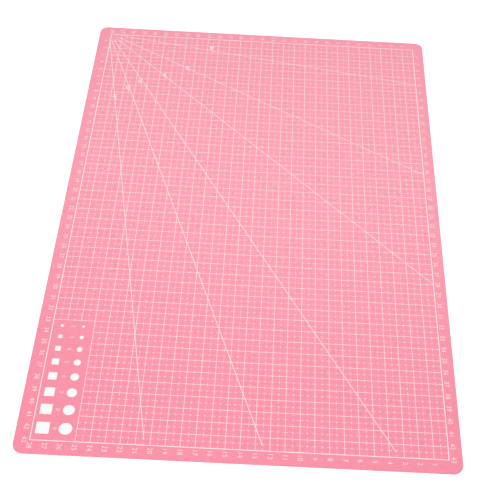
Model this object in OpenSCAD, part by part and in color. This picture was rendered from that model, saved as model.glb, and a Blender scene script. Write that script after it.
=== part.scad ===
// Self-healing cutting mat with a printed centimetre grid, angle lines and size templates.
// The mat lies flat: +Z is up, +Y runs along the long side and the origin is under its middle.

/* [Sheet] */
// Width of the mat, across its short side
mat_w = 300; // [220:5:450]
// Length of the mat, along its long side
mat_l = 450; // [320:5:600]
// Radius of the four die-cut corners
corner_r = 7; // [2:0.5:15]

/* [Plies] */
// Thickness of each healing skin, the soft ply on either face
skin_t = 0.3; // [0.2:0.05:0.8]
// Thickness of each cushion ply, between a skin and the core
cushion_t = 0.25; // [0.2:0.05:0.8]
// Thickness of the stiff core in the middle
core_t = 0.4; // [0.2:0.05:1]

/* [Printed field] */
// Spacing of the grid lines
cell = 10; // [8:1:15]
// Least bare margin between the sheet's edge and the printed field
margin = 10; // [8:0.5:16]
// Sideways shift of the print on the sheet
print_shift = 0.7; // [-1:0.1:1]
// Width of the line round the field
border_line_w = 0.5; // [0.4:0.1:1.5]
// Width of the grid lines
grid_line_w = 0.3; // [0.2:0.05:0.8]
// Thickness of one coat of ink
ink_t = 0.03; // [0.02:0.01:0.1]

/* [Angle lines] */
// Width of the angle lines
angle_line_w = 0.4; // [0.2:0.05:0.8]
// Bare length at the start of each angle line, in the corner that they fan out from
fan_r = 9; // [4:0.5:15]
// Gap between the near border and the angle lines that run towards it
fan_end_gap = 4.3; // [2:0.1:8]

/* [Size templates] */
// Smallest template, as a side or a diameter
template_min = 2; // [1:0.5:3]
// Largest template, as a side or a diameter
template_max = 9; // [6:0.5:12]
// Number of templates in each column, in equal steps from the smallest to the largest
template_count = 8; // [4:1:9]
// Gap between the smallest template and the next
template_gap = 7.1; // [4:0.1:9]
// How much narrower each further gap is than the one before it
template_gap_fall = 0.15; // [0:0.05:0.3]
// Least gap between the panel's ends and the templates
template_end = 4.4; // [3:0.1:8]
// Distance from the panel's side to the centres of the squares
template_inset = 7; // [6:0.1:10]
// Distance from the centres of the squares to those of the discs
template_pitch = 15.4; // [14:0.1:24]

/* [Hidden] */
$fn = 96;

// Each angle line: degrees from the long side, then how far right of the corner it meets the far border.
// The print is loose: some lines miss the corner, and their nominal angle, by a little.
ANGLE_LINES = [[10.3, -1.9], [20.2, -1.9], [30, -1.3], [45.1, -0.8], [59.8, 0], [80, 0]];

skin_pink = [0.98, 0.60, 0.69];
cushion_pink = [0.97, 0.66, 0.73];
core_pink = [0.96, 0.74, 0.79];
ink_white = [0.99, 0.98, 0.98];

// Heights of the plies, from the underside up
bottom_cushion_z = skin_t;
core_z = bottom_cushion_z + cushion_t;
top_cushion_z = core_z + core_t;
top_skin_z = top_cushion_z + cushion_t;
mat_t = top_skin_z + skin_t;

// The field is as many whole cells as the sheet holds inside its margin
cols = floor((mat_w - 2 * margin) / cell);
rows = floor((mat_l - 2 * margin) / cell);
field_w = cols * cell;
field_l = rows * cell;

// The template panel takes whole cells in the field's near left corner, from panel_y on and up to panel_x
last_template = template_count - 1;
template_step = (template_max - template_min) / last_template;
templates_l = template_y(last_template) + template_size(last_template) / 2 + template_end;
templates_w = 2 * template_inset + template_pitch;
panel_cols = ceil(templates_w / cell);
panel_rows = ceil(templates_l / cell);
panel_x = panel_cols * cell;
panel_y = field_l - panel_rows * cell;

// Side or diameter of template k, counted from 0
function template_size(k) = template_min + k * template_step;

// Distance from the panel's far end to the centre of template k
function template_y(k) =
    template_end + k * (template_min + template_gap) + (template_step - template_gap_fall) * k * (k - 1) / 2
    + template_size(k) / 2;

// Length of an angle line from the far border: up to the right border, or short of the near one
function fan_end(line) =
    min((field_l - fan_end_gap) / cos(line[0]), (field_w - border_line_w / 2 - line[1]) / sin(line[0]));

// Outline of every ply: a rectangle with round corners
module sheet_outline() {
    square([mat_w - 2 * corner_r, mat_l], center = true);
    square([mat_w, mat_l - 2 * corner_r], center = true);
    for (x = [-1, 1], y = [-1, 1])
        translate([x * (mat_w / 2 - corner_r), y * (mat_l / 2 - corner_r)])
            circle(corner_r);
}

// One ply of the sheet, with its underside at height z
module ply(z, thickness) {
    translate([0, 0, z])
        linear_extrude(thickness)
            sheet_outline();
}

// One coat of ink on the top skin. Coats that cross lie one on the other, numbered from 0.
// Children are drawn from the field's far left corner: x to the right, y towards the near side.
module ink(coat) {
    translate([print_shift - field_w / 2, field_l / 2, mat_t + coat * ink_t])
        mirror([0, 1, 0])
            linear_extrude(ink_t)
                children();
}

module bottom_skin() {
    color(skin_pink)
        ply(0, skin_t);
}

module bottom_cushion() {
    color(cushion_pink)
        ply(bottom_cushion_z, cushion_t);
}

module core() {
    color(core_pink)
        ply(core_z, core_t);
}

module top_cushion() {
    color(cushion_pink)
        ply(top_cushion_z, cushion_t);
}

module top_skin() {
    color(skin_pink)
        ply(top_skin_z, skin_t);
}

// The line round the field, centred on the field's edge
module border_line() {
    half = border_line_w / 2;
    color(ink_white)
        ink(0)
            difference() {
                translate([-half, -half])
                    square([field_w + border_line_w, field_l + border_line_w]);
                translate([half, half])
                    square([field_w - border_line_w, field_l - border_line_w]);
            }
}

// Grid lines across the mat. Beside the template panel they start at the panel's edge.
module lines_across() {
    color(ink_white)
        ink(0)
            for (row = [1 : rows - 1]) {
                start = row > rows - panel_rows ? panel_x - grid_line_w / 2 : border_line_w / 2;
                translate([start, row * cell - grid_line_w / 2])
                    square([field_w - border_line_w / 2 - start, grid_line_w]);
            }
}

// Grid lines along the mat. Beyond the template panel they end at the panel's edge.
module lines_along() {
    color(ink_white)
        ink(1)
            for (col = [1 : cols - 1]) {
                end = col < panel_cols ? panel_y + grid_line_w / 2 : field_l - border_line_w / 2;
                translate([col * cell - grid_line_w / 2, border_line_w / 2])
                    square([grid_line_w, end - border_line_w / 2]);
            }
}

// Lines that fan out from the field's far left corner
module angle_lines() {
    color(ink_white)
        ink(2)
            for (line = ANGLE_LINES)
                translate([line[1], 0])
                    rotate(90 - line[0])
                        translate([fan_r, -angle_line_w / 2])
                            square([fan_end(line) - fan_r, angle_line_w]);
}

// Places its children at the centre of template k, in a column at a distance from the panel's side
module at_template(k, column_x) {
    translate([column_x, panel_y + template_y(k)])
        children();
}

module template_squares() {
    color(ink_white)
        ink(0)
            for (k = [0 : last_template])
                at_template(k, template_inset)
                    square(template_size(k), center = true);
}

module template_discs() {
    color(ink_white)
        ink(0)
            for (k = [0 : last_template])
                at_template(k, template_inset + template_pitch)
                    circle(d = template_size(k));
}

bottom_skin();
bottom_cushion();
core();
top_cushion();
top_skin();
border_line();
lines_across();
lines_along();
angle_lines();
template_squares();
template_discs();
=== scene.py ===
"""Looks of a pink self-healing cutting mat: its bonded plies, its white print and a plain studio."""

import logging
import math
from abc import ABC, abstractmethod
from collections.abc import Iterator
from dataclasses import dataclass, field
from enum import Enum

import bmesh
import bpy
from mathutils import Matrix, Quaternion, Vector


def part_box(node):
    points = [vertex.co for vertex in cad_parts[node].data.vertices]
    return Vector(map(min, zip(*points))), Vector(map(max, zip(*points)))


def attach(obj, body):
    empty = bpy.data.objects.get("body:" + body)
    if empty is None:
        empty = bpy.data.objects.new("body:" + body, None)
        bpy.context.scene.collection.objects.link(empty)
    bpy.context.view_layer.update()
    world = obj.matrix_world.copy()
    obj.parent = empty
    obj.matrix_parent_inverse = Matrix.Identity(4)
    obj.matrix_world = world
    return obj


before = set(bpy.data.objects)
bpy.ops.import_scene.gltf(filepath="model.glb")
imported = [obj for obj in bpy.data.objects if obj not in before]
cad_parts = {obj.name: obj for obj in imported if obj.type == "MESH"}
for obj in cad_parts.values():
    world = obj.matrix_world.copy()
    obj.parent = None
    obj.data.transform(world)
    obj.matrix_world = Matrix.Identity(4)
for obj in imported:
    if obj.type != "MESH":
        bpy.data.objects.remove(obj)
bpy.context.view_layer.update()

LOG = logging.getLogger("cutting_mat")
MM = 0.001
BODY = "root"

# Sockets of a Mix node for colours. They go by number, because those for other values share their names.
MIX_FACTOR = 0
MIX_FIRST = 6
MIX_SECOND = 7
MIX_RESULT = 2

Colour = tuple[float, float, float, float]
Place = tuple[float, float, float]
Point = tuple[float, float]
Span = tuple[float, float]
Socket = bpy.types.NodeSocket
Tree = bpy.types.NodeTree


class Run(Enum):
    """Which way a printed line runs over the mat."""

    ACROSS = "across"
    ALONG = "along"


class Margin(Enum):
    """The four bare margins round the printed field."""

    LEFT = "left"
    RIGHT = "right"
    NEAR = "near"
    FAR = "far"


def linear(hex_colour: str) -> Colour:
    """Turns an sRGB hex colour into linear light.

    Args:
        hex_colour: Colour such as "#FC8CA2".

    Returns:
        Linear red, green and blue, with an alpha of 1.
    """
    channels = [int(hex_colour[i:i + 2], 16) / 255 for i in (1, 3, 5)]
    red, green, blue = (c / 12.92 if c <= 0.04045 else ((c + 0.055) / 1.055) ** 2.4 for c in channels)
    return red, green, blue, 1.0


def add_node(tree: Tree, kind: str, inputs: dict[str | int, object], **settings: object) -> bpy.types.Node:
    """Adds one shader node with its settings and links.

    Args:
        tree: Node tree that gets the node.
        kind: Class of the node.
        inputs: What each input gets, by name or number: a value, or the socket that feeds it.
        settings: Options of the node itself.

    Returns:
        The new node.
    """
    node = tree.nodes.new(kind)
    for name, value in settings.items():
        setattr(node, name, value)
    for key, value in inputs.items():
        if isinstance(value, Socket):
            tree.links.new(value, node.inputs[key])
        else:
            node.inputs[key].default_value = value
    return node


def seen(tree: Tree) -> Socket:
    """Tells the rays that show the background, straight or mirrored, from those that light the mat.

    Args:
        tree: Node tree that gets the nodes.

    Returns:
        A socket that is 1 for rays that show the background and 0 for the rest.
    """
    rays = add_node(tree, "ShaderNodeLightPath", {}).outputs
    mirrored = add_node(tree, "ShaderNodeMath", {
        0: rays["Is Glossy Ray"], 1: rays["Is Transmission Ray"]}, operation="MAXIMUM")
    shown = add_node(tree, "ShaderNodeMath", {
        0: rays["Is Camera Ray"], 1: mirrored.outputs["Value"]}, operation="MAXIMUM")
    return shown.outputs["Value"]


@dataclass(frozen=True)
class Finish(ABC):
    """A finish, whose surface each kind draws in its own way."""

    name: str

    @abstractmethod
    def surface(self, tree: Tree, place: Socket) -> Socket:
        """Draws the surface.

        Args:
            tree: Node tree of the material.
            place: Place on the piece, in metres.

        Returns:
            The surface's shader.
        """

    def material(self) -> bpy.types.Material:
        """Builds the material round the surface.

        Returns:
            The finished material.
        """
        material = bpy.data.materials.new(self.name)
        material.use_nodes = True
        tree = material.node_tree
        tree.nodes.clear()
        place = add_node(tree, "ShaderNodeTexCoord", {}).outputs["Object"]
        add_node(tree, "ShaderNodeOutputMaterial", {"Surface": self.surface(tree, place)})
        return material


@dataclass(frozen=True)
class CalenderedVinyl(Finish):
    """Soft PVC sheet, rolled between matt steel rolls: an even pink with a fine, half-dull pebble."""

    name: str = "soft_pvc_calendered_matt"
    colour: str = "#F4869D"
    cloud_colour: str = "#F68AA0"
    cloud_mm: float = 38.0
    roughness: float = 0.4
    roughness_spread: float = 0.05
    ior: float = 1.53
    pebble_mm: float = 1.4
    pebble_height_mm: float = 0.05
    pebble_relief: float = 0.5
    pebble_reach: float = 0.8
    # Painted shade in the pebble's hollows and painted highlight on its tops, as a fraction of the colour
    pebble_shade: float = 0.06

    def surface(self, tree: Tree, place: Socket) -> Socket:
        """Draws clouded pigment with painted shade and highlight from a pebble that also breaks up the
        gloss.

        Args:
            tree: Node tree of the material.
            place: Place on the piece, in metres.

        Returns:
            The surface's shader.
        """
        # Pigment settles in faint clouds a few centimetres wide
        cloud = add_node(tree, "ShaderNodeTexNoise", {
            "Vector": place, "Scale": 1 / (self.cloud_mm * MM)})
        tint = add_node(tree, "ShaderNodeMix", {
            MIX_FACTOR: cloud.outputs["Fac"], MIX_FIRST: linear(self.colour),
            MIX_SECOND: linear(self.cloud_colour)}, data_type="RGBA")
        # The rolls leave a pebble of about 0.2 mm, drawn a little wider than a pixel here so that it shows
        pebble = add_node(tree, "ShaderNodeTexVoronoi", {
            "Vector": place, "Scale": 1 / (self.pebble_mm * MM)}, feature="SMOOTH_F1")
        # Painted shade and highlight: the pebble's hollows are painted a little darker, its tops as much
        # lighter
        painted_shade = add_node(tree, "ShaderNodeMapRange", {
            "Value": pebble.outputs["Distance"], "From Max": self.pebble_reach,
            "To Min": 1 + self.pebble_shade, "To Max": 1 - self.pebble_shade})
        painted_tint = add_node(tree, "ShaderNodeHueSaturation", {
            "Value": painted_shade.outputs["Result"], "Color": tint.outputs[MIX_RESULT]})
        gloss = add_node(tree, "ShaderNodeMapRange", {
            "Value": pebble.outputs["Distance"], "From Max": self.pebble_reach,
            "To Min": self.roughness - self.roughness_spread,
            "To Max": self.roughness + self.roughness_spread})
        bump = add_node(tree, "ShaderNodeBump", {
            "Height": pebble.outputs["Distance"], "Strength": self.pebble_relief,
            "Distance": self.pebble_height_mm * MM}, invert=True)
        shader = add_node(tree, "ShaderNodeBsdfPrincipled", {
            "Base Color": painted_tint.outputs["Color"], "Roughness": gloss.outputs["Result"], "IOR": self.ior,
            "Normal": bump.outputs["Normal"]})
        return shader.outputs["BSDF"]


@dataclass(frozen=True)
class DieCutVinyl(Finish):
    """PVC ply seen at its cut edge: duller than the rolled face, with faint drag marks of the die."""

    colour: str
    fade: float = 0.9
    roughness: float = 0.6
    ior: float = 1.53
    drag_mm: float = 0.35
    drag_stretch: float = 10.0
    drag_depth_mm: float = 0.02
    drag_relief: float = 0.6

    def surface(self, tree: Tree, place: Socket) -> Socket:
        """Draws upright drag marks, in the colour and in the relief.

        Args:
            tree: Node tree of the material.
            place: Place on the piece, in metres.

        Returns:
            The surface's shader.
        """
        # The die slides straight down, so its marks are long in height and fine along the edge
        stretched = add_node(tree, "ShaderNodeMapping", {
            "Vector": place, "Scale": (1.0, 1.0, 1 / self.drag_stretch)})
        drag = add_node(tree, "ShaderNodeTexNoise", {
            "Vector": stretched.outputs["Vector"], "Scale": 1 / (self.drag_mm * MM)})
        clean = linear(self.colour)
        dragged = (*(c * self.fade for c in clean[:3]), 1.0)
        tint = add_node(tree, "ShaderNodeMix", {
            MIX_FACTOR: drag.outputs["Fac"], MIX_FIRST: dragged, MIX_SECOND: clean}, data_type="RGBA")
        bump = add_node(tree, "ShaderNodeBump", {
            "Height": drag.outputs["Fac"], "Strength": self.drag_relief,
            "Distance": self.drag_depth_mm * MM})
        shader = add_node(tree, "ShaderNodeBsdfPrincipled", {
            "Base Color": tint.outputs[MIX_RESULT], "Roughness": self.roughness, "IOR": self.ior,
            "Normal": bump.outputs["Normal"]})
        return shader.outputs["BSDF"]


@dataclass(frozen=True)
class ScreenInk(Finish):
    """White vinyl ink pushed through a screen: opaque, a little uneven, half-dull like the sheet."""

    name: str = "white_vinyl_ink_screen_printed"
    colour: str = "#FDFDFD"
    thin_colour: str = "#F5F3F3"
    roughness: float = 0.42
    ior: float = 1.5
    mesh_mm: float = 1.2
    mesh_height_mm: float = 0.02
    mesh_relief: float = 0.4

    def surface(self, tree: Tree, place: Socket) -> Socket:
        """Draws a coat that lets a breath of pink through where it is thin.

        Args:
            tree: Node tree of the material.
            place: Place on the piece, in metres.

        Returns:
            The surface's shader.
        """
        # The screen's threads, about 0.1 mm apart, thin the coat: drawn as wide as a pixel so that it shows
        coat = add_node(tree, "ShaderNodeTexNoise", {
            "Vector": place, "Scale": 1 / (self.mesh_mm * MM)})
        tint = add_node(tree, "ShaderNodeMix", {
            MIX_FACTOR: coat.outputs["Fac"], MIX_FIRST: linear(self.thin_colour),
            MIX_SECOND: linear(self.colour)}, data_type="RGBA")
        bump = add_node(tree, "ShaderNodeBump", {
            "Height": coat.outputs["Fac"], "Strength": self.mesh_relief,
            "Distance": self.mesh_height_mm * MM})
        shader = add_node(tree, "ShaderNodeBsdfPrincipled", {
            "Base Color": tint.outputs[MIX_RESULT], "Roughness": self.roughness, "IOR": self.ior,
            "Normal": bump.outputs["Normal"]})
        return shader.outputs["BSDF"]


@dataclass(frozen=True)
class StudioPaper(Finish):
    """Matt white paper: keeps the mat's shadow, and clears to white where nothing shades it."""

    room_light: float
    colour: str = "#F4F4F4"

    def surface(self, tree: Tree, place: Socket) -> Socket:
        """Draws plain paper, with a lift where it is seen or mirrored.

        Args:
            tree: Node tree of the material.
            place: Place on the piece, in metres; not used.

        Returns:
            The surface's shader.
        """
        paper = linear(self.colour)
        # The lift is what the room's light on the paper falls short of white
        lift = 1 - self.room_light * paper[0]
        glow = add_node(tree, "ShaderNodeMath", {0: seen(tree), 1: lift}, operation="MULTIPLY")
        lifted = add_node(tree, "ShaderNodeEmission", {"Strength": glow.outputs["Value"]})
        matt = add_node(tree, "ShaderNodeBsdfDiffuse", {"Color": paper})
        both = add_node(tree, "ShaderNodeAddShader", {
            0: matt.outputs["BSDF"], 1: lifted.outputs["Emission"]})
        return both.outputs["Shader"]


@dataclass
class PrintedField:
    """The printed field, read from the frame. Places on it are millimetres from its far left corner."""

    cell_mm: float = 10.0
    panel_cols: int = 3
    panel_rows: int = 10
    left: float = field(init=False)
    far: float = field(init=False)
    width: float = field(init=False)
    length: float = field(init=False)
    border_w: float = field(init=False)
    line_w: float = field(init=False)

    def __post_init__(self) -> None:
        """Measures the field on the border line and on the lines that stop at its inner edge."""
        border_low, border_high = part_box("border_line")
        across_low, across_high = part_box("lines_across")
        inner = (across_high.x - across_low.x) / MM
        outer = (border_high.x - border_low.x) / MM
        self.border_w = (outer - inner) / 2
        self.width = (outer + inner) / 2
        self.length = (border_high.y - border_low.y) / MM - self.border_w
        self.left = border_low.x / MM + self.border_w / 2
        self.far = border_high.y / MM - self.border_w / 2
        self.line_w = (across_high.y - across_low.y) / MM - (self.rows - 2) * self.cell_mm

    @property
    def cols(self) -> int:
        """Whole cells across the field."""
        return round(self.width / self.cell_mm)

    @property
    def rows(self) -> int:
        """Whole cells along the field."""
        return round(self.length / self.cell_mm)

    @property
    def panel_x(self) -> float:
        """Right edge of the template panel."""
        return self.panel_cols * self.cell_mm

    @property
    def panel_y(self) -> float:
        """Far edge of the template panel."""
        return self.length - self.panel_rows * self.cell_mm

    def cell_at(self, x: float, y: float) -> tuple[int, int]:
        """Column and row of the cell that holds a place."""
        return math.floor(x / self.cell_mm), math.floor(y / self.cell_mm)

    def point(self, x: float, y: float) -> Point:
        """Turns a place on the field into metres in the frame.

        Args:
            x: Distance to the right of the field's far left corner.
            y: Distance towards the near side from that corner.

        Returns:
            X and Y in the frame.
        """
        return (self.left + x) * MM, (self.far - y) * MM


@dataclass
class Solid:
    """A mesh in the making, which pieces of print are added to."""

    points: list[Place] = field(default_factory=list)
    faces: list[tuple[int, ...]] = field(default_factory=list)

    def add_bar(self, low: Point, high: Point, heights: Span) -> None:
        """Adds one closed rectangular bar.

        Args:
            low: Its lowest X and Y.
            high: Its highest X and Y.
            heights: Its lowest and highest Z.
        """
        n = len(self.points)
        for z in heights:
            self.points += [(low[0], low[1], z), (high[0], low[1], z)]
            self.points += [(high[0], high[1], z), (low[0], high[1], z)]
        self.faces += [(n + 3, n + 2, n + 1, n), (n + 4, n + 5, n + 6, n + 7)]
        for i in range(4):
            j = (i + 1) % 4
            self.faces.append((n + i, n + j, n + 4 + j, n + 4 + i))

    def add_mesh(self, mesh: bpy.types.Mesh, place: Matrix) -> None:
        """Adds a copy of a mesh.

        Args:
            mesh: Mesh to copy.
            place: Where the copy goes.
        """
        n = len(self.points)
        self.points += [tuple(place @ v.co) for v in mesh.vertices]
        self.faces += [tuple(n + i for i in p.vertices) for p in mesh.polygons]

    def piece(self, name: str, ink: bpy.types.Material) -> bpy.types.Object:
        """Makes the mesh into a piece of print that rides on the mat.

        Args:
            name: Name of the piece.
            ink: Finish of the print.

        Returns:
            The new piece.
        """
        mesh = bpy.data.meshes.new(name)
        mesh.from_pydata(self.points, [], self.faces)
        mesh.materials.append(ink)
        piece = bpy.data.objects.new(name, mesh)
        bpy.context.scene.collection.objects.link(piece)
        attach(piece, BODY)
        LOG.info("%s: %d faces", name, len(mesh.polygons))
        return piece


@dataclass
class Sheet:
    """The five bonded plies, which keep their CAD shapes and get their finishes and softened edges."""

    face_edge_mm: float = 0.14
    seam_edge_mm: float = 0.03
    edge_segments: int = 3
    sharp_deg: float = 50.0
    weld_mm: float = 0.001
    skin: Finish = CalenderedVinyl()
    cushion: Finish = DieCutVinyl("soft_pvc_cushion_die_cut", "#F08DA2")
    core: Finish = DieCutVinyl("stiff_pvc_core_die_cut", "#F2A3B3")

    def dress(self) -> None:
        """Gives each ply its finish, a rounded edge on the two faces and a fine seam between plies."""
        skin = self.skin.material()
        cushion = self.cushion.material()
        core = self.core.material()
        plies = {
            "top_skin": (skin, self.face_edge_mm),
            "top_cushion": (cushion, self.seam_edge_mm),
            "core": (core, self.seam_edge_mm),
            "bottom_cushion": (cushion, self.seam_edge_mm),
            "bottom_skin": (skin, self.face_edge_mm),
        }
        for name, (material, edge_mm) in plies.items():
            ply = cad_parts[name]
            ply.data.materials[0] = material
            self.soften(ply, edge_mm)
            LOG.info("%s: edge softened by %.2f mm", name, edge_mm)

    def soften(self, ply: bpy.types.Object, edge_mm: float) -> None:
        """Rounds the sharp edges of a ply by modifiers.

        Args:
            ply: The CAD ply.
            edge_mm: Width of the rounded edge.
        """
        weld = ply.modifiers.new("weld", "WELD")
        weld.merge_threshold = self.weld_mm * MM
        bevel = ply.modifiers.new("edge", "BEVEL")
        bevel.width = edge_mm * MM
        bevel.segments = self.edge_segments
        bevel.limit_method = "ANGLE"
        bevel.angle_limit = math.radians(self.sharp_deg)
        bevel.harden_normals = True


@dataclass
class CentimetrePrint:
    """Border, centimetre lines, angle lines and templates: CAD solids in white ink."""

    nodes: tuple[str, ...] = (
        "border_line", "lines_across", "lines_along", "angle_lines", "template_squares", "template_discs")

    def dress(self, ink: bpy.types.Material) -> None:
        """Inks every printed CAD node.

        Args:
            ink: Finish of the print.
        """
        for name in self.nodes:
            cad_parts[name].data.materials[0] = ink
            LOG.info("%s: inked", name)


@dataclass
class HalfCentimetreDashes:
    """Broken lines halfway between the centimetre lines: a tick over each line, a cross in each cell."""

    area: PrintedField
    bare_cells: frozenset[tuple[int, int]]
    width_mm: float = 0.18
    tick_mm: float = 4.4
    arm_mm: float = 2.6
    bare_mm: float = 5.0

    def reach(self, run: Run, middle: float) -> Span:
        """Finds where a broken line starts and ends: at the border, or at the template panel.

        Args:
            run: Which way the line runs.
            middle: Place of the line across its run.

        Returns:
            Its start and its end.
        """
        area = self.area
        edge = area.border_w / 2
        half_line = area.line_w / 2
        if run is Run.ACROSS:
            beside_panel = middle > area.panel_y
            return (area.panel_x + half_line if beside_panel else edge), area.width - edge
        beyond_panel = middle < area.panel_x
        return edge, (area.panel_y - half_line if beyond_panel else area.length - edge)

    def dashes(self, start: float, end: float) -> Iterator[Span]:
        """Walks along one broken line.

        Args:
            start: Where the line starts.
            end: Where the line ends.

        Yields:
            Start and end of each dash.
        """
        step = self.area.cell_mm / 2
        for k in range(math.floor(start / step), math.ceil(end / step) + 1):
            half = (self.arm_mm if k % 2 else self.tick_mm) / 2
            low = max(k * step - half, start)
            high = min(k * step + half, end)
            if high > low:
                yield low, high

    def is_bare(self, x: float, y: float) -> bool:
        """Tells whether a place is left bare, in the middle of a cell that holds a figure.

        Args:
            x: Place across the field.
            y: Place along the field.

        Returns:
            Whether it is left bare.
        """
        cell = self.area.cell_mm
        in_middle = all(abs(place % cell - cell / 2) < self.bare_mm / 2 for place in (x, y))
        return in_middle and self.area.cell_at(x, y) in self.bare_cells

    def build(self, run: Run, ink: bpy.types.Material) -> bpy.types.Object:
        """Prints all the broken lines that run one way.

        Args:
            run: Which way the lines run.
            ink: Finish of the print.

        Returns:
            The piece that holds all the dashes.
        """
        area = self.area
        low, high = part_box(f"lines_{run.value}")
        half = self.width_mm / 2
        solid = Solid()
        for n in range(area.rows if run is Run.ACROSS else area.cols):
            middle = (n + 0.5) * area.cell_mm
            breadth = (middle - half, middle + half)
            for dash in self.dashes(*self.reach(run, middle)):
                x, y = (dash, breadth) if run is Run.ACROSS else (breadth, dash)
                if not self.is_bare(sum(x) / 2, sum(y) / 2):
                    solid.add_bar(area.point(x[0], y[1]), area.point(x[1], y[0]), (low.z, high.z))
        return solid.piece(f"half_centimetre_dashes_{run.value}", ink)


@dataclass(frozen=True)
class Lettering:
    """Height of the digits and width of their strokes in one kind of figure."""

    cap_mm: float
    pen_mm: float


@dataclass
class FigurePress:
    """Makes plain figures as thin solids of ink, in a plain upright face, centred on themselves."""

    thickness: float
    face_cap: float = 0.7
    face_pen: float = 0.098
    curve_steps: int = 3
    weld_mm: float = 0.0001
    meshes: dict[tuple[str, Lettering], bpy.types.Mesh] = field(default_factory=dict)

    def figure(self, text: str, style: Lettering) -> bpy.types.Mesh:
        """Makes a figure, or returns the one made before.

        Args:
            text: Digits, with a degree sign if it is an angle.
            style: Its height and stroke.

        Returns:
            A mesh with its middle at the origin and its underside at height 0.
        """
        key = (text, style)
        if key not in self.meshes:
            self.meshes[key] = self.centre(self.cast(text, style))
        return self.meshes[key]

    def cast(self, text: str, style: Lettering) -> bpy.types.Mesh:
        """Sets a figure in the built-in face, whose strokes are thinned or thickened to the style.

        Args:
            text: Digits, with a degree sign if it is an angle.
            style: Its height and stroke.

        Returns:
            The new mesh.
        """
        size = (style.cap_mm - style.pen_mm) / (self.face_cap - self.face_pen)
        curve = bpy.data.curves.new("figure", "FONT")
        curve.body = text
        curve.size = size * MM
        curve.offset = (style.pen_mm - self.face_pen * size) / 2 * MM
        curve.extrude = self.thickness / 2
        curve.resolution_u = self.curve_steps
        setting = bpy.data.objects.new("figure", curve)
        bpy.context.scene.collection.objects.link(setting)
        bpy.context.view_layer.update()
        mesh = bpy.data.meshes.new_from_object(setting.evaluated_get(bpy.context.evaluated_depsgraph_get()))
        bpy.data.objects.remove(setting)
        return mesh

    def centre(self, mesh: bpy.types.Mesh) -> bpy.types.Mesh:
        """Closes a figure's seams, evens out its faces and moves its middle to the origin.

        Args:
            mesh: The figure as it was cast.

        Returns:
            The same mesh.
        """
        shape = bmesh.new()
        shape.from_mesh(mesh)
        bmesh.ops.remove_doubles(shape, verts=shape.verts, dist=self.weld_mm * MM)
        bmesh.ops.beautify_fill(shape, faces=shape.faces, edges=shape.edges)
        xs = [v.co.x for v in shape.verts]
        ys = [v.co.y for v in shape.verts]
        middle = Vector((min(xs) + max(xs), min(ys) + max(ys), -self.thickness)) / 2
        bmesh.ops.translate(shape, verts=shape.verts, vec=-middle)
        shape.to_mesh(mesh)
        shape.free()
        return mesh


@dataclass
class Figures:
    """Rule numbers in the margins, sizes beside the templates and degrees on the angle lines."""

    area: PrintedField
    rule: Lettering = Lettering(3.3, 0.32)
    template: Lettering = Lettering(2.9, 0.26)
    angle: Lettering = Lettering(3.5, 0.55)
    left_offset_mm: float = 3.7
    right_offset_mm: float = 3.2
    near_offset_mm: float = 4.1
    far_offset_mm: float = 4.6
    rule_lead_mm: float = 0.3
    template_x_mm: float = 15.0
    angle_places: dict[int, Point] = field(default_factory=lambda: {
        10: (13.8, 86.0),
        20: (24.0, 74.4),
        30: (33.6, 64.4),
        45: (54.4, 54.8),
        60: (74.3, 43.6),
        80: (93.9, 13.6),
    })
    floor: float = field(init=False)
    press: FigurePress = field(init=False)

    def __post_init__(self) -> None:
        """Readies the press with the thickness of one coat of ink."""
        low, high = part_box("border_line")
        self.floor = low.z
        self.press = FigurePress(high.z - low.z)

    @property
    def angle_cells(self) -> frozenset[tuple[int, int]]:
        """Cells that hold an angle."""
        return frozenset(self.area.cell_at(*place) for place in self.angle_places.values())

    def put(self, solid: Solid, text: str, style: Lettering, x: float, y: float) -> None:
        """Adds one figure, turned so that its top is towards the mat's right side.

        Args:
            solid: Mesh that the figure goes into.
            text: What it says.
            style: Its height and stroke.
            x: Place of its middle across the field.
            y: Place of its middle along the field.
        """
        east, north = self.area.point(x, y)
        place = Matrix.Translation((east, north, self.floor)) @ Matrix.Rotation(-math.pi / 2, 4, "Z")
        solid.add_mesh(self.press.figure(text, style), place)

    def build_rule(self, margin: Margin, ink: bpy.types.Material) -> bpy.types.Object:
        """Numbers the centimetre lines in one margin, each number a little past its line.

        Args:
            margin: The margin.
            ink: Finish of the print.

        Returns:
            The piece that holds the numbers.
        """
        area = self.area
        solid = Solid()
        if margin in (Margin.LEFT, Margin.RIGHT):
            x = -self.left_offset_mm if margin is Margin.LEFT else area.width + self.right_offset_mm
            for n in range(1, area.rows + 1):
                self.put(solid, str(n), self.rule, x, n * area.cell_mm - self.rule_lead_mm)
        else:
            y = -self.far_offset_mm if margin is Margin.FAR else area.length + self.near_offset_mm
            for n in range(1, area.cols + 1):
                self.put(solid, str(n), self.rule, area.width - n * area.cell_mm + self.rule_lead_mm, y)
        return solid.piece(f"rule_numbers_{margin.value}", ink)

    def build_template_sizes(self, ink: bpy.types.Material) -> bpy.types.Object:
        """Prints each template's size between its square and its disc.

        Args:
            ink: Finish of the print.

        Returns:
            The piece that holds the sizes.
        """
        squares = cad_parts["template_squares"].data
        sides = sorted({round(self.area.far - corner.co.y / MM, 2) for corner in squares.vertices})
        solid = Solid()
        for far, near in zip(sides[::2], sides[1::2]):
            self.put(solid, str(round(near - far)), self.template, self.template_x_mm, (far + near) / 2)
        return solid.piece("template_sizes", ink)

    def build_angles(self, ink: bpy.types.Material) -> bpy.types.Object:
        """Prints each angle on its line, in a cell whose cross is left out.

        Args:
            ink: Finish of the print.

        Returns:
            The piece that holds the angles.
        """
        solid = Solid()
        for angle, (x, y) in self.angle_places.items():
            self.put(solid, f"{angle}°", self.angle, x, y)
        return solid.piece("angle_figures", ink)


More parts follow.
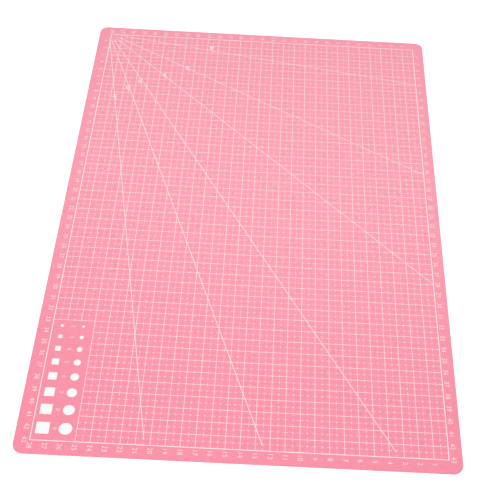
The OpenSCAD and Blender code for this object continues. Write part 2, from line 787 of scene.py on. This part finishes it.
@dataclass(frozen=True)
class Softbox:
    """A soft oblong lamp. Its brightness is the light that each part of its face gives off."""

    name: str
    place_m: Place
    aim_m: Place
    size_m: tuple[float, float]
    brightness: float

    def build(self) -> None:
        """Hangs the lamp and turns it to its aim."""
        lamp = bpy.data.lights.new(self.name, "AREA")
        lamp.shape = "RECTANGLE"
        lamp.size, lamp.size_y = self.size_m
        lamp.energy = self.brightness * math.pi * lamp.size * lamp.size_y
        hung = bpy.data.objects.new(self.name, lamp)
        hung.location = self.place_m
        beam = Vector(self.aim_m) - Vector(self.place_m)
        hung.rotation_euler = beam.to_track_quat("-Z", "Y").to_euler()
        bpy.context.scene.collection.objects.link(hung)
        LOG.info("%s: lamp", self.name)


@dataclass
class Studio:
    """White paper, even light from all round, two lamps and the camera.

    The key lamp stands above the camera. The sheen lamp hangs beyond the mat, where the skin mirrors it
    softly, which pales the pink towards the far side.
    """

    floor_m: float = 8.0
    room_colour: str = "#FFFFFF"
    room_light: float = 0.42
    room_white: float = 1.0
    lamps: tuple[Softbox, ...] = (
        Softbox("key_softbox", (-0.15, -0.95, 0.85), (0.0, -0.1, 0.0), (0.6, 0.4), 9.2),
        Softbox("sheen_softbox", (0.07, 1.5, 1.58), (0.0, 0.0, 0.0), (1.6, 0.4), 8.7),
    )
    camera_mm: Place = (4.35, -574.6, 627.5)
    aim_mm: Place = (14.31, -38.6, 1.53)
    roll_deg: float = 3.73
    lens_mm: float = 76.62
    sensor_mm: float = 36.0
    shift_x: float = -0.0369

    def build(self) -> None:
        """Sets up the studio."""
        self.lay_floor()
        self.light_room()
        for lamp in self.lamps:
            lamp.build()
        self.place_camera()
        bpy.context.scene.view_settings.view_transform = "Standard"

    def lay_floor(self) -> None:
        """Lays the paper under the mat."""
        half = self.floor_m / 2
        corners = [(-half, -half, 0), (half, -half, 0), (half, half, 0), (-half, half, 0)]
        mesh = bpy.data.meshes.new("paper_floor")
        mesh.from_pydata(corners, [], [(0, 1, 2, 3)])
        mesh.materials.append(StudioPaper("white_paper_matt", self.room_light).material())
        floor = bpy.data.objects.new("paper_floor", mesh)
        bpy.context.scene.collection.objects.link(floor)

    def light_room(self) -> None:
        """Lights the room evenly, and shows it white to the eye and in reflections."""
        world = bpy.data.worlds.new("white_room")
        bpy.context.scene.world = world
        world.use_nodes = True
        tree = world.node_tree
        tree.nodes.clear()
        strength = add_node(tree, "ShaderNodeMapRange", {
            "Value": seen(tree), "To Min": self.room_light, "To Max": self.room_white})
        light = add_node(tree, "ShaderNodeBackground", {
            "Color": linear(self.room_colour), "Strength": strength.outputs["Result"]})
        add_node(tree, "ShaderNodeOutputWorld", {"Surface": light.outputs["Background"]})

    def place_camera(self) -> None:
        """Stands the camera where the photograph was taken from."""
        data = bpy.data.cameras.new("camera")
        data.sensor_width = self.sensor_mm
        data.lens = self.lens_mm
        data.shift_x = self.shift_x
        camera = bpy.data.objects.new("camera", data)
        camera.location = Vector(self.camera_mm) * MM
        sight = (Vector(self.aim_mm) - Vector(self.camera_mm)).to_track_quat("-Z", "Y")
        roll = Quaternion((0, 0, 1), math.radians(self.roll_deg))
        camera.rotation_euler = (sight @ roll).to_euler()
        bpy.context.scene.collection.objects.link(camera)
        bpy.context.scene.camera = camera


def main() -> None:
    """Dresses the mat, prints it and sets up the studio."""
    logging.basicConfig(level=logging.INFO, format="%(message)s")
    Studio().build()
    Sheet().dress()
    ink = ScreenInk().material()
    CentimetrePrint().dress(ink)
    area = PrintedField()
    figures = Figures(area)
    dashes = HalfCentimetreDashes(area, figures.angle_cells)
    for run in Run:
        dashes.build(run, ink)
    for margin in Margin:
        figures.build_rule(margin, ink)
    figures.build_template_sizes(ink)
    figures.build_angles(ink)


if __name__ == "__main__":
    main()
